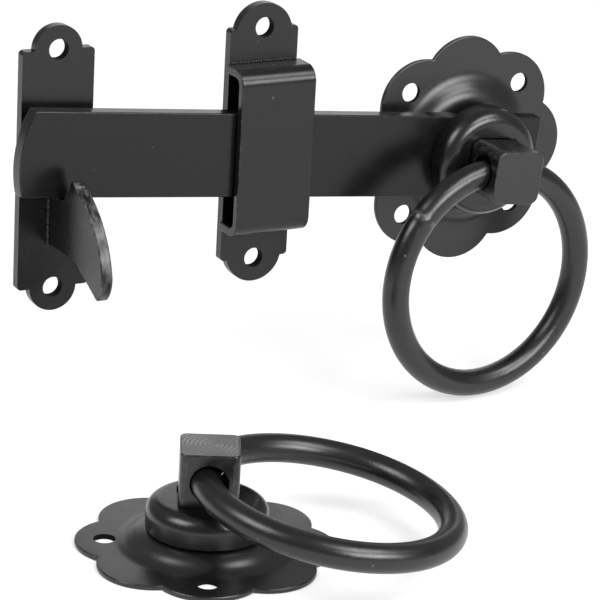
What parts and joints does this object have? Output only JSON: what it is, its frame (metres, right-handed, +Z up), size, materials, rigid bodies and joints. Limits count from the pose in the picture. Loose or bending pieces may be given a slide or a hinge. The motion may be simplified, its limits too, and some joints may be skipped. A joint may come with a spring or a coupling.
{
  "type": "ring gate latch",
  "caption": "Black gate latch: a ring handle on a lobed rose lifts a flat bar through a bridged staple and out of a hooked keep; a matching ring handle lies apart for the gate's other side.",
  "frame": {"origin": "on the gate's face, at the axis of the latch handle's spindle and the middle of the latch rose's screw holes", "axes": "+X along the gate away from the keep, +Y into the gate, +Z up"},
  "size_m": [0.2004, 0.1512, 0.1217],
  "materials": {
    "black_plate": "satin black coat",
    "black_bar": "satin black coat",
    "black_handle": "satin black coat over turned steel",
    "black_ring": "smooth satin black coat"
  },
  "bodies": {
    "fixed_plates": {"keep_plate": "black_plate", "keep_hook": "black_plate", "staple_plate": "black_plate", "staple_bridge": "black_plate", "latch_rose": "black_plate", "outside_rose": "black_plate"},
    "latch_handle": {"latch_bar": "black_bar", "latch_collar": "black_handle", "latch_block": "black_handle", "latch_washer": "black_handle"},
    "latch_pull": {"latch_ring": "black_ring"},
    "outside_handle": {"outside_collar": "black_handle", "outside_block": "black_handle", "outside_washer": "black_handle"},
    "outside_pull": {"outside_ring": "black_ring"}
  },
  "joints": [
    {"name": "latch_turn", "type": "hinge", "parent": "fixed_plates", "child": "latch_handle", "pos_m": [0, 0, 0], "axis": [0, 1, 0], "range_deg": [0, 5.8]},
    {"name": "latch_ring_swing", "type": "hinge", "parent": "latch_handle", "child": "latch_pull", "pos_m": [0, -0.0263, 0], "axis": [-0.9951, 0, 0.0993], "range_deg": [-19, 199]},
    {"name": "outside_turn", "type": "hinge", "parent": "fixed_plates", "child": "outside_handle", "pos_m": [-0.1315, -0.0963, -0.071], "axis": [0, 0, 1], "continuous": true},
    {"name": "outside_ring_swing", "type": "hinge", "parent": "outside_handle", "child": "outside_pull", "pos_m": [-0.1315, -0.0963, -0.0497], "axis": [-0.4431, -0.8965, 0], "range_deg": [-5.4, 204]}
  ]
}
